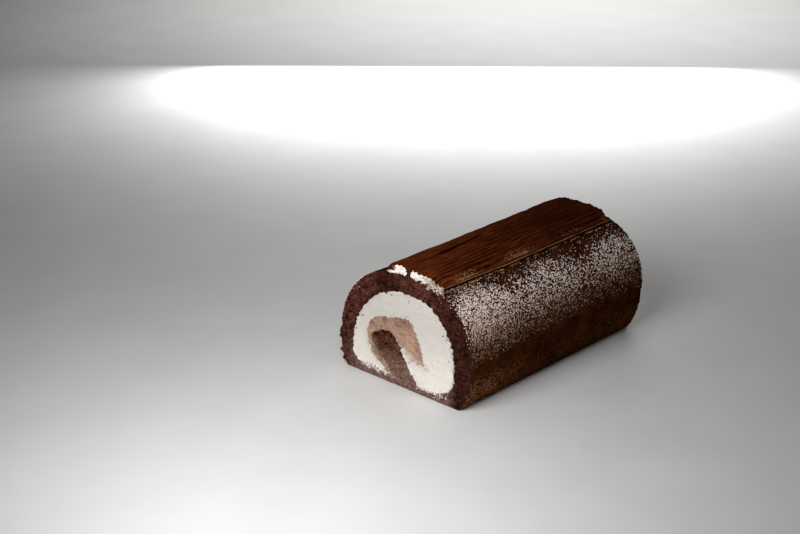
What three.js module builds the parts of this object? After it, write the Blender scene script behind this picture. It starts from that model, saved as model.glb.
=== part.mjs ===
// Chocolate swiss roll, cut square at both ends and resting on its flattened base.
// One sponge sheet wraps the fillings: it starts inside as a tongue that leans to the left,
// turns at the base and closes as a thick ring. White cream and mocha cream run through the roll.
// A strip of cream, combed along its length and dusted with cocoa, lies along the top.
// Millimetres, +Z up. X runs across the roll and Y along it, with the shown cut at -Y.
// The origin is on the floor, under the middle of the roll.

import * as THREE from "three";

// Driving dimensions
const ROLL_LENGTH = 160;
const FILLING_GAP = 0.2; // clearance that each filling keeps to its neighbours
const STATIONS = 8; // stretches along the roll

// A squashed round that leans over: widest at centreZ, with its own fullness above and below.
const ROLL_ROUND = {
  centreX: 0,
  centreZ: 25.6,
  halfWidth: 51.5,
  rise: 45.9,
  riseFullness: 2.3,
  drop: 41.8,
  dropFullness: 2.46,
  lean: 0.104,
};
const FILLING_ROUND = {
  centreX: -2.1,
  centreZ: 16.5,
  halfWidth: 39.6,
  rise: 42.7,
  riseFullness: 2.2,
  drop: 13.2,
  dropFullness: 2.7,
  lean: 0.111,
};
const ROLL_POINTS = 72;
const FILLING_POINTS = 56;

// The sponge tongue stands on the base between these two places across the roll.
const TONGUE_LEFT_ROOT = -4;
const TONGUE_RIGHT_ROOT = 10.5;
const TONGUE_BEND = [
  [-15.3, 11.8],
  [-24, 20.2],
  [-26.4, 25.6],
  [-21.5, 30.4],
  [-12.5, 32.8],
  [-7.4, 30.2],
  [-1.5, 21],
  [4.7, 12.7],
];
const TONGUE_POINTS = 40;

// Mocha cream lies over the tongue: a thin leg on its left, a thick leg that ends in a point on its right.
const MOCHA_OUTSIDE = [
  [-8, 5],
  [-16.5, 8.8],
  [-24.3, 14.2],
  [-28.6, 21.5],
  [-29, 28.5],
  [-27.6, 34.6],
  [-20.5, 39.2],
  [-9.5, 42.2],
  [1, 44.2],
  [5.5, 42.6],
  [9.6, 37],
  [12.4, 29],
  [16.4, 18.4],
];
const MOCHA_UNDERSIDE = [
  [16.4, 18.4],
  [10.5, 19.6],
  [4, 22.2],
];
const MOCHA_OUTSIDE_POINTS = 36;
const MOCHA_UNDERSIDE_POINTS = 6;
const MOCHA_LEFT_FOOT = 1; // tongue points from its left root to where the mocha starts
const MOCHA_RIGHT_FOOT = 27; // tongue points from its left root to where the mocha ends

// The combed strip on top
const STRIP_LEFT = -24;
const STRIP_RIGHT = 28.3;
const STRIP_LIFT = 0.3; // clearance to the sponge below
const STRIP_FRONT_THICKNESS = 3.7;
const STRIP_BACK_THICKNESS = 5;
const STRIP_LEFT_EDGE = 0.7;
const STRIP_RIGHT_LIP = 1.7;
const STRIP_LEFT_SLOPE = 17; // width over which the strip thickens from its left edge
const STRIP_RIGHT_SLOPE = 9;
const STRIP_BACK_SETBACK = 4;
const STRIP_STATIONS = 12; // stretches along the strip
const STRIP_RAGGED = 0.8; // how far the two ends wander
const STRIP_RAGGED_WAVE = 1.4;
const STRIP_RAGGED_TURN = 4; // how much the wandering differs between the two ends
const COMB_PITCH = 3;
const COMB_HEIGHT = 0.45;
const COMB_STEPS = 6; // points across each comb line
const FURROW_AT = 3; // a deeper furrow that opens at the shown cut and fades along the strip
const FURROW_DRIFT = -0.08;
const FURROW_WIDTH = 2;
const FURROW_DEPTH = 2.6;
const FURROW_LENGTH = 72;

// Hand-rolled unevenness along the roll
const WOBBLE_ACROSS = 0.5;
const WOBBLE_UP = 0.006;
const WOBBLE_WAVE = 27;

const ROLL_HEIGHT = ROLL_ROUND.centreZ + ROLL_ROUND.rise;
const SAME_POINT = 1e-6; // points closer than this are one
const ANGLE_STEP = 1e-3; // small turn that gives a round's direction
const SHARPEST_CORNER = 0.35; // keeps an inset corner from running away
const HALVINGS = 50;

// A point of a leaning round at an angle counted from +X towards +Z.
function roundPoint(round, angle) {
  const c = Math.cos(angle);
  const s = Math.sin(angle);
  const power = 2 / (s >= 0 ? round.riseFullness : round.dropFullness);
  const reach = s >= 0 ? round.rise : round.drop;
  const up = reach * Math.sign(s) * Math.abs(s) ** power;
  const across = round.halfWidth * Math.sign(c) * Math.abs(c) ** power;
  return new THREE.Vector2(
    round.centreX + across + round.lean * up,
    round.centreZ + up,
  );
}

// The angle between low and high at which a round has the given x or y, found by halving.
function angleWhere(round, key, value, low, high) {
  const below = roundPoint(round, low)[key] < value;
  for (let i = 0; i < HALVINGS; i++) {
    const middle = (low + high) / 2;
    if (roundPoint(round, middle)[key] < value === below) low = middle;
    else high = middle;
  }
  return (low + high) / 2;
}

function arcOfRound(round, from, to, count) {
  return Array.from({ length: count + 1 }, (_, i) =>
    roundPoint(round, from + ((to - from) * i) / count),
  );
}

function splineThrough(points, count) {
  const curve = new THREE.SplineCurve(
    points.map((p) => (p.isVector2 ? p : new THREE.Vector2(...p))),
  );
  return curve.getSpacedPoints(count);
}

// The sponge's outline from its right base corner over the top to its left base corner.
// The flat base closes it.
function rollOutline() {
  const right = angleWhere(ROLL_ROUND, "y", 0, -Math.PI / 2, 0);
  const left = angleWhere(ROLL_ROUND, "y", 0, 1.5 * Math.PI, Math.PI);
  const outline = arcOfRound(ROLL_ROUND, right, left, ROLL_POINTS);
  outline[0].y = 0;
  outline[ROLL_POINTS].y = 0;
  return outline;
}

// The curves that bound the fillings, each from its right or left start as named.
function fillingCurves() {
  const right = angleWhere(
    FILLING_ROUND,
    "x",
    TONGUE_RIGHT_ROOT,
    -Math.PI / 2,
    -0.5,
  );
  const left = angleWhere(
    FILLING_ROUND,
    "x",
    TONGUE_LEFT_ROOT,
    1.5 * Math.PI,
    Math.PI + 0.5,
  );
  const ring = arcOfRound(FILLING_ROUND, right, left, FILLING_POINTS);
  const tongue = splineThrough(
    [ring[FILLING_POINTS], ...TONGUE_BEND, ring[0]],
    TONGUE_POINTS,
  );
  const outside = splineThrough(MOCHA_OUTSIDE, MOCHA_OUTSIDE_POINTS);
  const underside = splineThrough(
    [...MOCHA_UNDERSIDE, tongue[MOCHA_RIGHT_FOOT]],
    MOCHA_UNDERSIDE_POINTS,
  );
  return { ring, tongue, outside, underside };
}

// Joins runs of points into one closed outline, without repeating a point where two runs meet.
function joinRuns(...runs) {
  const points = [];
  for (const p of runs.flat()) {
    if (!points.length || points.at(-1).distanceTo(p) > SAME_POINT) points.push(p);
  }
  if (points[0].distanceTo(points.at(-1)) < SAME_POINT) points.pop();
  return points;
}

// Moves each side of a closed outline inwards by a distance.
function insetOutline(points, distance) {
  const inwards = THREE.ShapeUtils.isClockWise(points) ? -1 : 1;
  return points.map((p, i) => {
    const before = points.at(i - 1);
    const after = points[(i + 1) % points.length];
    const a = p.clone().sub(before).normalize();
    const b = after.clone().sub(p).normalize();
    const bisector = new THREE.Vector2(-a.y - b.y, a.x + b.x).normalize();
    const fall = Math.max(SHARPEST_CORNER, bisector.dot(new THREE.Vector2(-a.y, a.x)));
    return p
      .clone()
      .addScaledVector(bisector, (inwards * distance) / fall);
  });
}

// The small unevenness of a roll shaped by hand. The base stays flat.
function handRolled(geometry) {
  const place = geometry.getAttribute("position");
  for (let i = 0; i < place.count; i++) {
    const x = place.getX(i);
    const y = place.getY(i);
    const z = place.getZ(i);
    const sway = WOBBLE_ACROSS * Math.sin(y / WOBBLE_WAVE + z / ROLL_HEIGHT);
    const swell = WOBBLE_UP * Math.sin(y / WOBBLE_WAVE - x / ROLL_HEIGHT);
    place.setX(i, x + (sway * z) / ROLL_HEIGHT);
    place.setZ(i, z * (1 + swell));
  }
  return geometry;
}

// Runs a cross-section of X and Z along the whole roll.
function alongRoll(outline, hole) {
  const shape = new THREE.Shape(outline);
  if (hole) shape.holes.push(new THREE.Path(hole));
  const geometry = new THREE.ExtrudeGeometry(shape, {
    depth: ROLL_LENGTH,
    steps: STATIONS,
    bevelEnabled: false,
  });
  geometry.rotateX(Math.PI / 2);
  geometry.translate(0, ROLL_LENGTH / 2, 0);
  return handRolled(geometry);
}

function smoothStep(from, to, value) {
  return THREE.MathUtils.smoothstep(value, from, to);
}

// Thickness of the combed strip at a distance from its left edge and from the shown cut.
function stripThickness(across, width, along) {
  const share = along / ROLL_LENGTH;
  const full = THREE.MathUtils.lerp(
    STRIP_FRONT_THICKNESS,
    STRIP_BACK_THICKNESS,
    share,
  );
  const fromLeft = smoothStep(0, STRIP_LEFT_SLOPE, across);
  const fromRight = smoothStep(0, STRIP_RIGHT_SLOPE, width - across);
  const left = THREE.MathUtils.lerp(STRIP_LEFT_EDGE, full, fromLeft);
  const right = THREE.MathUtils.lerp(STRIP_RIGHT_LIP, full, fromRight);
  const furrowAt = FURROW_AT - STRIP_LEFT + FURROW_DRIFT * along;
  const furrow =
    FURROW_DEPTH *
    Math.exp(-(((across - furrowAt) / FURROW_WIDTH) ** 2)) *
    (1 - smoothStep(0, FURROW_LENGTH, along));
  const comb = COMB_HEIGHT * Math.cos((2 * Math.PI * across) / COMB_PITCH);
  const body = Math.min(left, right);
  return Math.max(STRIP_LEFT_EDGE, body - furrow) + comb * Math.min(1, fromLeft * 2);
}

// A flat slab bent over the top of the roll and raised by the strip's thickness.
function combedStrip() {
  const from = angleWhere(ROLL_ROUND, "x", STRIP_LEFT, Math.PI / 2, Math.PI);
  const to = angleWhere(ROLL_ROUND, "x", STRIP_RIGHT, Math.PI / 2, 0);
  const width = STRIP_RIGHT - STRIP_LEFT;
  const columns = Math.round(width / COMB_PITCH) * COMB_STEPS;
  const geometry = new THREE.BoxGeometry(1, 1, 1, columns, STRIP_STATIONS, 1);
  const place = geometry.getAttribute("position");
  for (let i = 0; i < place.count; i++) {
    const u = place.getX(i) + 0.5;
    const v = place.getY(i) + 0.5;
    const angle = from + (to - from) * u;
    const under = roundPoint(ROLL_ROUND, angle);
    const ahead = roundPoint(ROLL_ROUND, angle - ANGLE_STEP).sub(under).normalize();
    const outwards = new THREE.Vector2(-ahead.y, ahead.x);
    const across = under.x - STRIP_LEFT;
    const wander = Math.sin(across / STRIP_RAGGED_WAVE + v * STRIP_RAGGED_TURN);
    const ragged = STRIP_RAGGED * (1 + wander);
    const run = ROLL_LENGTH - STRIP_BACK_SETBACK;
    const along = THREE.MathUtils.lerp(ragged, run - ragged, v);
    const raise =
      STRIP_LIFT +
      (place.getZ(i) > 0 ? stripThickness(across, width, along) : 0);
    under.addScaledVector(outwards, raise);
    place.setXYZ(i, under.x, along - ROLL_LENGTH / 2, under.y);
  }
  return handRolled(geometry);
}

function finish(color, roughness) {
  return new THREE.MeshStandardMaterial({ color, roughness, metalness: 0 });
}

function buildRoll() {
  const roll = new THREE.Group();
  const add = (name, geometry, material) => {
    const mesh = new THREE.Mesh(geometry, material);
    mesh.name = name;
    roll.add(mesh);
  };
  const { ring, tongue, outside, underside } = fillingCurves();
  const opening = joinRuns(ring, tongue);
  const cream = joinRuns(
    ring,
    tongue.slice(0, MOCHA_LEFT_FOOT + 1),
    outside,
    underside,
    tongue.slice(MOCHA_RIGHT_FOOT),
  );
  const mocha = joinRuns(
    tongue.slice(MOCHA_LEFT_FOOT, MOCHA_RIGHT_FOOT + 1),
    underside.toReversed(),
    outside.toReversed(),
  );
  add("sponge", alongRoll(rollOutline(), opening), finish(0x4a2a20, 0.95));
  add(
    "white_cream",
    alongRoll(insetOutline(cream, FILLING_GAP)),
    finish(0xf1ece1, 0.6),
  );
  add(
    "mocha_cream",
    alongRoll(insetOutline(mocha, FILLING_GAP)),
    finish(0xb99478, 0.65),
  );
  add("combed_strip", combedStrip(), finish(0x5a2c18, 0.95));
  return roll;
}

export default buildRoll();
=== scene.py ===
# %% [markdown]
# A chocolate swiss roll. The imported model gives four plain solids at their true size: the rolled sponge,
# the white cream, the mocha cream and the combed strip on top. This script gives each of them its real
# surface, then adds the small things that lie on them: icing sugar, crumbs and smears of cream.

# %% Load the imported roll
import math

import bpy
import numpy as np
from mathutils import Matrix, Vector, noise
from mathutils.bvhtree import BVHTree


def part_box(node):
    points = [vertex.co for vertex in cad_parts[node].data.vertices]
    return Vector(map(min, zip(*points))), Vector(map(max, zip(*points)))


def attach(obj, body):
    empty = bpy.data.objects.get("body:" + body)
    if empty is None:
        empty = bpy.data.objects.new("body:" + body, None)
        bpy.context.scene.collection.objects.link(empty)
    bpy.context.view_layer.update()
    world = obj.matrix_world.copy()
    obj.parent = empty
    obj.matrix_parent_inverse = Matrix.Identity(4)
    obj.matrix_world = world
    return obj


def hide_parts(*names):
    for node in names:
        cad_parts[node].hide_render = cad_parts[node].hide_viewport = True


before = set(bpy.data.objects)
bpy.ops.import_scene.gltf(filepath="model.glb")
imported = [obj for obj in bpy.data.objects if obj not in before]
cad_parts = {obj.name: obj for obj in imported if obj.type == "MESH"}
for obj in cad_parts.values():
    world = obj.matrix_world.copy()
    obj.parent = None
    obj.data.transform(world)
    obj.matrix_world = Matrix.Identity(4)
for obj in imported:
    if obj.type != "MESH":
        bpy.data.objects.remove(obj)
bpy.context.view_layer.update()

print("solids:", sorted(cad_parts))

# %% [markdown]
# Blender works in metres and a cake is measured in millimetres, so every size below is written as a number
# of millimetres times MM. The roll lies along Y with the shown cut at the low end, and its round is
# widest a third of the way up. Angles around the roll are counted there, from level up to the top.

# %% Sizes that the whole script shares
MM = 0.001
roll_low, roll_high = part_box("sponge")
SHOWN_CUT = roll_low.y
BACK_CUT = roll_high.y
AXIS_HEIGHT = 25.6 * MM
print("roll length in mm:", round((BACK_CUT - SHOWN_CUT) / MM, 1))

# %% [markdown]
# A few working tools. Operators act on whatever is selected, so one helper selects a single piece first.
# Another copies a solid and welds it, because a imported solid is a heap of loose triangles, and the
# solids themselves are never touched.


# %% Tools for selecting, copying and applying
def select_only(piece):
    bpy.ops.object.select_all(action="DESELECT")
    piece.select_set(True)
    bpy.context.view_layer.objects.active = piece


def apply_modifier(piece, kind, **settings):
    modifier = piece.modifiers.new(kind.lower(), kind)
    for key, value in settings.items():
        setattr(modifier, key, value)
    select_only(piece)
    bpy.ops.object.modifier_apply(modifier=modifier.name)


def welded_copy(node, name):
    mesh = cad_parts[node].data.copy()
    mesh.name = name
    mesh.materials.clear()
    piece = bpy.data.objects.new(name, mesh)
    bpy.context.scene.collection.objects.link(piece)
    select_only(piece)
    bpy.ops.object.mode_set(mode="EDIT")
    bpy.ops.mesh.select_all(action="SELECT")
    bpy.ops.mesh.remove_doubles(threshold=0.01 * MM)
    bpy.ops.object.mode_set(mode="OBJECT")
    return piece


def edit_faces(piece, chosen, operator, **settings):
    select_only(piece)
    bpy.ops.object.mode_set(mode="EDIT")
    bpy.ops.mesh.select_mode(type="FACE")
    bpy.ops.mesh.select_all(action="DESELECT")
    bpy.ops.object.mode_set(mode="OBJECT")
    piece.data.polygons.foreach_set("select", chosen)
    bpy.ops.object.mode_set(mode="EDIT")
    operator(**settings)
    bpy.ops.object.mode_set(mode="OBJECT")


# %% [markdown]
# The mesh is read and marked with arrays, one row for each vertex or face. A weight tells a modifier where
# to work, and an attribute tells a material what a spot is, such as cut crumb or baked skin.


# %% Tools for measuring and marking a mesh
def rows_of(items, key):
    flat = np.empty(len(items) * 3, np.float32)
    items.foreach_get(key, flat)
    return flat.reshape(-1, 3).astype(float)


def vertex_places(piece):
    return rows_of(piece.data.vertices, "co")


def vertex_normals(piece):
    return rows_of(piece.data.vertex_normals, "vector")


def face_values(piece, key):
    return rows_of(piece.data.polygons, key)


def weigh(piece, zone, values):
    group = piece.vertex_groups.new(name=zone)
    for index in np.flatnonzero(values > 0.01):
        group.add([int(index)], float(values[index]), "REPLACE")


def mark(piece, name, values):
    layer = piece.data.attributes.new(name, "FLOAT", "POINT")
    layer.data.foreach_set("value", np.asarray(values, np.float32))


def fade(low, high, value):
    share = np.clip((value - low) / (high - low), 0, 1)
    return share * share * (3 - 2 * share)


def from_cut(places):
    return np.minimum(places[:, 1] - SHOWN_CUT, BACK_CUT - places[:, 1])


def from_line(places, start, end):
    across = np.array(end) - start
    to_spot = places[:, [0, 2]] - start
    share = np.clip(to_spot @ across / (across @ across), 0, 1)
    return np.linalg.norm(to_spot - share[:, None] * across, axis=1), share


def flank_angle(places):
    return np.degrees(np.arctan2(places[:, 2] - AXIS_HEIGHT, np.abs(places[:, 0])))


# %% [markdown]
# Where two foods meet is measured from the solids' long walls. A search tree of those faces answers how far
# any point is from the next filling, which tells what is hidden inside and where colours run into each other.
# Relief is pressed into the mesh with displace modifiers: by one distance, by cloud noise or by round cells.


# %% Tools for distances and relief
def walls_of(*nodes):
    corners, faces = [], []
    for node in nodes:
        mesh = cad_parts[node].data
        first = len(corners)
        corners += [v.co.copy() for v in mesh.vertices]
        faces += [[first + i for i in p.vertices] for p in mesh.polygons if abs(p.normal.y) < 0.5]
    return BVHTree.FromPolygons(corners, faces)


def distance_to(tree, places):
    return np.array([tree.find_nearest(Vector(p))[3] for p in places])


def surface_of(piece):
    return BVHTree.FromObject(piece, bpy.context.evaluated_depsgraph_get())


def displace(piece, zone, depth, **settings):
    apply_modifier(piece, "DISPLACE", vertex_group=zone, strength=depth, **settings)


def push(piece, zone, distance, direction="NORMAL"):
    displace(piece, zone, distance, mid_level=0.0, direction=direction)


def cloud_relief(piece, zone, size, depth, steps=2, kind="GRAYSCALE", **settings):
    texture = bpy.data.textures.new("clouds", "CLOUDS")
    texture.noise_scale = size
    texture.noise_depth = steps
    texture.cloud_type = kind
    displace(piece, zone, depth, texture=texture, **settings)


def ragged_relief(piece, zone, size, depth):
    cloud_relief(piece, zone, size, depth, kind="COLOR", direction="RGB_TO_XYZ")


def pore_relief(piece, zone, size, depth, contrast, brightness):
    texture = bpy.data.textures.new("cells", "VORONOI")
    texture.noise_scale = size
    texture.contrast = contrast
    texture.intensity = brightness
    displace(piece, zone, depth, texture=texture, mid_level=1.0)


# %% [markdown]
# A filled cake's inner walls never show, yet an even mesh spends most of its faces there. So each piece is
# remeshed evenly, the walls inside are thinned out with decimate, and the cut faces are subdivided, because
# the crumb needs points closer than a pore is wide.

# %% Even mesh with fine cuts and coarse hidden walls
CUT_SKIN = 1.2 * MM
CUT_FACE = 0.4 * MM
HIDDEN_FROM_CUT = 4 * MM
HIDDEN_SHARE = 0.05
WALL_VOXELS = 1.5
FACES_CUT = 0.7


def cake_mesh(node, name, voxel, neighbours, cut_steps):
    piece = welded_copy(node, name)
    apply_modifier(piece, "REMESH", mode="VOXEL", voxel_size=voxel)
    centres = face_values(piece, "center")
    inside = distance_to(walls_of(*neighbours), centres) < WALL_VOXELS * voxel
    hidden = inside & (from_cut(centres) > HIDDEN_FROM_CUT)
    edit_faces(piece, hidden, bpy.ops.mesh.decimate, ratio=HIDDEN_SHARE)
    facing = np.abs(face_values(piece, "normal")[:, 1])
    cut = (facing > FACES_CUT) & (from_cut(face_values(piece, "center")) < CUT_SKIN)
    edit_faces(piece, cut, bpy.ops.mesh.subdivide, number_cuts=cut_steps)
    select_only(piece)
    bpy.ops.object.shade_smooth()
    print(name, "faces:", len(piece.data.polygons))
    return piece


# %% [markdown]
# The sponge is one baked sheet. Its cut faces are torn open crumb, full of pores of different sizes, and its
# outside is a thin baked skin with shallow creases. Pores could be a bump in the material alone, but a real
# hollow keeps its shadow from every side, so they are pressed into the mesh. Each relief is a size and a
# depth, and pores have a contrast and a brightness too, which set how wide they open.

# %% Sponge
SPONGE_VOXEL = 1.15 * MM
CRUMB_SWELL = (10 * MM, 0.8 * MM)
LARGE_PORES = (2.2 * MM, 0.7 * MM, 3.0, 1.45)
SMALL_PORES = (1.1 * MM, 0.5 * MM, 2.2, 1.25)
CRUMB_GRAIN = (0.8 * MM, 0.3 * MM)
SKIN_WAVES = (14 * MM, 0.8 * MM)
SKIN_CREASES = (2.0 * MM, 0.35 * MM)
TORN_RIM = (2.0 * MM, 0.5 * MM)
RIM_CALM = 0.75
sponge = cake_mesh("sponge", "sponge_roll", SPONGE_VOXEL, ("white_cream", "mocha_cream"), 2)
places = vertex_places(sponge)
x, z = places[:, 0], places[:, 2]
to_filling = distance_to(walls_of("white_cream", "mocha_cream"), places)
depth = from_cut(places)
outside = fade(2 * MM, 4 * MM, to_filling)
sponge_cut = fade(CUT_SKIN, CUT_FACE, depth)
above_base = fade(0.4 * MM, 2.5 * MM, z)
near_rim = fade(2.5 * MM, 0.5 * MM, distance_to(walls_of("sponge"), places)) * outside
weigh(sponge, "crumb", sponge_cut * (1 - RIM_CALM * near_rim) * fade(0, 0.8 * MM, z))
weigh(sponge, "skin", outside * above_base * (1 - sponge_cut))
weigh(sponge, "rim", fade(3 * MM, 0.5 * MM, depth) * outside * above_base)
cloud_relief(sponge, "crumb", *CRUMB_SWELL)
pore_relief(sponge, "crumb", *LARGE_PORES)
pore_relief(sponge, "crumb", *SMALL_PORES)
cloud_relief(sponge, "crumb", *CRUMB_GRAIN)
cloud_relief(sponge, "skin", *SKIN_WAVES)
cloud_relief(sponge, "skin", *SKIN_CREASES)
ragged_relief(sponge, "rim", *TORN_RIM)
print("sponge vertices on the cuts:", int((sponge_cut > 0.5).sum()))

# %% [markdown]
# Icing sugar was sifted on both flanks below the strip. It is thickest just under the shoulder, thins out
# towards the widest part, and lies in soft blotches along the roll, most of it near the shown cut. A few
# stray grains lie above it and at the foot. One rule tells how thick it lies at an angle, in degrees above
# level, and a place along the roll. It paints the finest dust on the skin and places the grains later.

# %% Where the icing sugar lies
SUGAR_TOP = 45.0
TOP_FADE = 9.0
TOP_SWING = 4.0
RIPPLE_SWING = 0.5
FRONT_HIGHER = 3.0
STRAY_SHARE = 0.14
STRAY_ANGLES = (57.5, 56.0)
SUGAR_THINS = 28.5
THINS_LOWER = 3.5
THINS_POWER = 0.75
SUGAR_ENDS = 6.5
ENDS_LOWER = 3.0
ENDS_SWING = 1.2
FRONT_REACH = (90 * MM, 10 * MM)
BACK_SHARE = 0.58
RIPPLES = (23 * MM, 13.7 * MM)
BLOTCH_FIRST = 18 * MM
BLOTCH_PITCH = 61 * MM
BLOTCH_SHARE = 0.28
FOOT_SHARE = 0.22
FOOT_ANGLES = (-4, -14)
FOOT_REACH = (34 * MM, 6 * MM)


def sugar_density(angle, along):
    from_front = along - SHOWN_CUT
    front = fade(*FRONT_REACH, from_front)
    wave = np.cos(2 * math.pi * (from_front - BLOTCH_FIRST) / BLOTCH_PITCH)
    ripple = sum(np.cos(2 * math.pi * along / pitch) for pitch in RIPPLES)
    top = SUGAR_TOP + TOP_SWING * wave + RIPPLE_SWING * ripple + FRONT_HIGHER * front
    upper = fade(top + TOP_FADE, top - TOP_FADE, angle)
    upper = np.maximum(upper, STRAY_SHARE * fade(*STRAY_ANGLES, angle))
    ends = SUGAR_ENDS - ENDS_LOWER * front + ENDS_SWING * ripple
    thins = SUGAR_THINS - THINS_LOWER * front
    lower = np.clip((angle - ends) / (thins - ends), 0, 1) ** THINS_POWER
    from_front_share = BACK_SHARE + (1 - BACK_SHARE) * front
    blotch = 1 - BLOTCH_SHARE * (0.5 - 0.5 * wave)
    foot = FOOT_SHARE * fade(*FOOT_ANGLES, angle) * fade(*FOOT_REACH, from_front)
    return np.maximum(upper * lower * from_front_share * blotch, foot)


sugar_on_skin = sugar_density(flank_angle(places), places[:, 1]) * outside
print("share of the sponge's vertices under sugar:", round(float((sugar_on_skin > 0.1).mean()), 2))

# %% [markdown]
# The sponge's material has to know where the sheet is cut, smeared, damp, dusted or shaded, so each of these
# is a mark on the mesh. Cream was smeared over the foot of the cut and beside the mocha, the crumb is denser
# along the filling and in a damp patch at the top, and the knife drew one thin spike of mocha down. Shade is
# painted on the cut, darker towards the right, and as a shadow on the skin just below the strip.

# %% Marks on the sponge
DAMP_AT = (-13 * MM, 62 * MM)
DAMP_SHARE = 0.65
DENSE_BY_FILLING = 0.4
# How much painted shade darkens the right side of the cut.
PAINTED_SHADE_RIGHT = 0.6
SMEAR_BESIDE_MOCHA = 0.6
FOOT_FAR_SHARE = 0.2
SPIKE = ((-17 * MM, 10.5 * MM), (-5.5 * MM, 2.5 * MM))
SPIKE_WIDTH = 1.5 * MM


def spike(places):
    distance, share = from_line(places, *SPIKE)
    return fade(SPIKE_WIDTH, 0.4 * SPIKE_WIDTH, distance + SPIKE_WIDTH * 0.6 * share)


mark(sponge, "cut", sponge_cut)
mark(sponge, "sugar", sugar_on_skin)
# Painted shadow: the skin just below the strip, darkened in the finish.
mark(sponge, "painted_strip_shadow", fade(46, 60, flank_angle(places)))
near_shown_cut = fade(70 * MM, 5 * MM, places[:, 1] - SHOWN_CUT)
foot_share = FOOT_FAR_SHARE + (1 - FOOT_FAR_SHARE) * near_shown_cut
mark(sponge, "foot", fade(29 * MM, 12 * MM, z) * foot_share)
smear = fade(24 * MM, 12 * MM, z) * fade(-50 * MM, -34 * MM, x) * fade(41 * MM, 30 * MM, x)
beside_mocha = fade(6.5 * MM, 1 * MM, distance_to(walls_of("mocha_cream"), places))
smear = np.maximum(smear, SMEAR_BESIDE_MOCHA * beside_mocha * fade(28 * MM, 23 * MM, z))
mark(sponge, "smear", sponge_cut * smear)
mark(sponge, "spike", sponge_cut * spike(places))
by_filling = fade(4 * MM, 1 * MM, to_filling) * fade(24 * MM, 34 * MM, z)
# Painted shade: the cut is painted darker towards the right side, beside the denser crumb along the filling.
dense_and_painted_shade = np.maximum(DENSE_BY_FILLING * by_filling, PAINTED_SHADE_RIGHT * fade(10 * MM, 40 * MM, x))
damp = fade(15 * MM, 5 * MM, np.hypot(x - DAMP_AT[0], z - DAMP_AT[1]))
mark(sponge, "dense_and_painted_shade", np.maximum(dense_and_painted_shade, DAMP_SHARE * damp))
print("marks on the sponge:", [layer.name for layer in sponge.data.attributes if layer.data_type == "FLOAT"])

# %% [markdown]
# The white cream was spread on the sheet before rolling, so on the real cake it grips the sponge with no gap.
# Its walls are pushed out a little and shaken by a coloured noise that moves each point sideways, so that the
# line between cream and crumb is ragged like torn sponge. The knife left the cut nearly smooth. Marks tell
# where mocha has run in, where crumbs stain it, where its foot is soiled by the sponge, and where shade is
# painted over the upper part of the cut.

# %% White cream
CREAM_VOXEL = 0.95 * MM
CREAM_GRIP = 0.55 * MM
EDGE_WAVES = (5.5 * MM, 2.2 * MM)
EDGE_TEETH = (1.5 * MM, 2.0 * MM)
CUT_WAVES = (7 * MM, 0.9 * MM)
CUT_GRAIN = (1.6 * MM, 0.25 * MM)
FOOT_TEETH = (1.4 * MM, 2.4 * MM)
MOCHA_LINE = 0.9 * MM
MOCHA_REACH = 5.0 * MM
UNDERSIDE_AT = (4 * MM, 22.5 * MM)
UNDERSIDE_SLOPE = -0.33
LEFT_LEG_SHARE = 0.45


def grip(piece, places, edge):
    depth = from_cut(places)
    weigh(piece, "cut", fade(CUT_SKIN, CUT_FACE, depth))
    weigh(piece, "edge", np.maximum(fade(CUT_FACE, CUT_SKIN, depth), fade(1.6 * MM, 0.3 * MM, edge)))
    push(piece, "edge", CREAM_GRIP)
    ragged_relief(piece, "edge", *EDGE_WAVES)
    ragged_relief(piece, "edge", *EDGE_TEETH)
    cloud_relief(piece, "cut", *CUT_WAVES)
    cloud_relief(piece, "cut", *CUT_GRAIN)


def run_in(places):
    x, z = places[:, 0], places[:, 2]
    left_leg = fade(34 * MM, 26 * MM, z) * fade(-14 * MM, -20 * MM, x)
    line = UNDERSIDE_AT[1] + UNDERSIDE_SLOPE * (x - UNDERSIDE_AT[0])
    underside = fade(6 * MM, 0, z - line) * fade(-4 * MM, 0, x)
    return np.maximum(LEFT_LEG_SHARE * left_leg, underside)


cream = cake_mesh("white_cream", "cream_filling", CREAM_VOXEL, ("sponge", "mocha_cream"), 1)
places = vertex_places(cream)
x, z = places[:, 0], places[:, 2]
to_mocha = distance_to(walls_of("mocha_cream"), places)
to_sponge = distance_to(walls_of("sponge"), places)
soft = run_in(places)
mark(cream, "brown", fade(MOCHA_LINE + MOCHA_REACH * soft, 0, to_mocha) * (0.25 + 0.5 * soft))
mark(cream, "crumbs", fade(2.2 * MM, 0, to_sponge))
# Painted shade: the cut's cream is painted greyer towards the top.
mark(cream, "painted_top_shade", fade(8 * MM, 46 * MM, z))
mark(cream, "spike", spike(places))
wedge = fade(7.5 * MM, 5.0 * MM, z) * fade(-17 * MM, -13 * MM, x) * fade(4 * MM, 0, x)
left_foot = fade(8.5 * MM, 3 * MM, z) * fade(-11 * MM, -14 * MM, x)
right_foot = fade(6 * MM, 2 * MM, z) * fade(8 * MM, 12 * MM, x)
mark(cream, "soiled", np.maximum(wedge, np.maximum(left_foot, right_foot)))
dragged = fade(10 * MM, 14 * MM, np.abs(x)) * fade(10 * MM, 6 * MM, z)
weigh(cream, "foot", dragged * fade(3 * MM, 1.5 * MM, from_cut(places)))
grip(cream, places, np.minimum(to_sponge, to_mocha))
cloud_relief(cream, "foot", *FOOT_TEETH, steps=1, direction="Z")
print("cream vertices that mocha runs into:", int((soft > 0.5).sum()))

# %% [markdown]
# The mocha cream lies over the tongue. It was spread into the white while both were soft, so the two colours
# run into each other over a few millimetres. Both creams carry a mark of how far the other colour has run in.

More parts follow.
